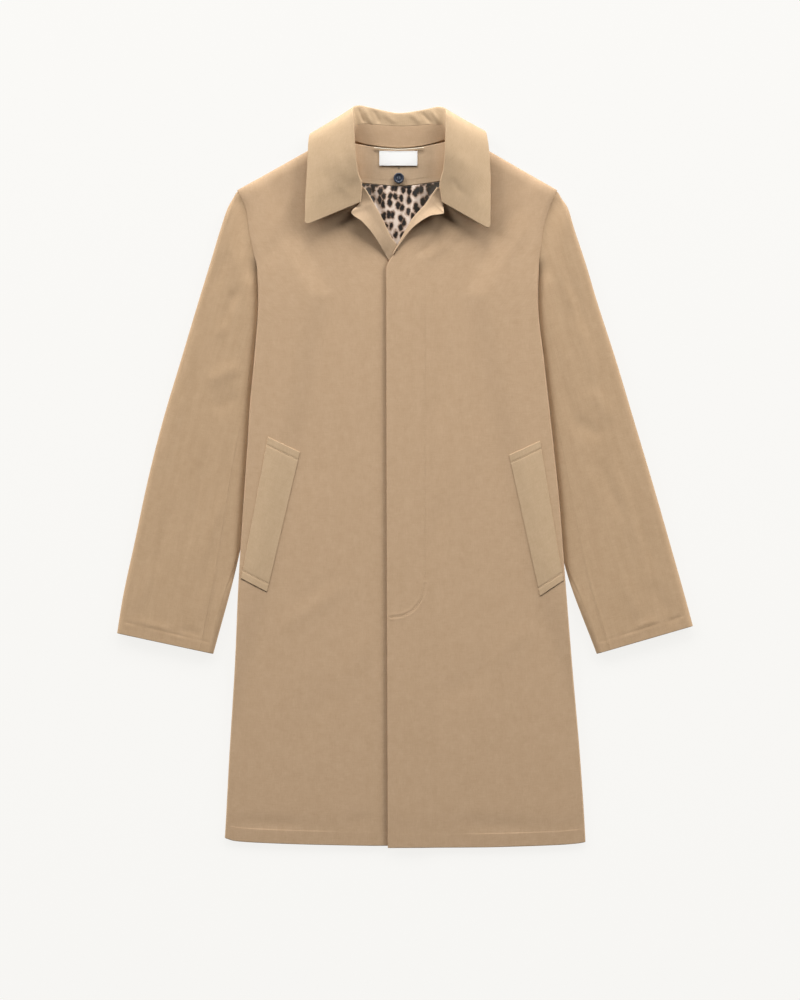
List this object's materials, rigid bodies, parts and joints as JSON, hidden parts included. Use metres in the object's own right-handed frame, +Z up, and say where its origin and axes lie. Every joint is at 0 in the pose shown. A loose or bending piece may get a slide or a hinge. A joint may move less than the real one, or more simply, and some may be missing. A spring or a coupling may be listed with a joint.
{
  "type": "gabardine coat laid flat",
  "caption": "Knee-length gabardine coat laid flat and closed: hidden button fly, fold-down collar, set-in sleeves, slanted welt pockets and an animal-print lining at the neck.",
  "frame": {"origin": "middle of the coat's outline, on the surface it lies on", "axes": "+Y from the hem to the collar, +X towards the wearer's left, +Z up out of the coat's front"},
  "size_m": [0.8352, 1.0769, 0.027],
  "materials": {
    "gabardine": "tightly woven beige cotton twill, matt, with a faint sheen",
    "print_lining": "smooth lining with a leopard-spot print, dark on a pale pinkish ground",
    "label_satin": "white woven satin, bare",
    "loop_cord": "cream twisted cord",
    "button_resin": "dark blue-black resin, satin"
  },
  "bodies": {
    "root": {"back": "gabardine", "front_left": "gabardine", "front_right": "gabardine", "top_sleeve_left": "gabardine", "top_sleeve_right": "gabardine", "under_sleeve_left": "gabardine", "under_sleeve_right": "gabardine", "collar_leaf": "gabardine", "collar_stand": "gabardine", "facing_left": "gabardine", "facing_right": "gabardine", "back_neck_facing": "gabardine", "pocket_welt_left": "gabardine", "pocket_welt_right": "gabardine", "lining": "print_lining", "label": "label_satin", "hanger_loop": "loop_cord", "inner_button": "button_resin"}
  },
  "joints": []
}
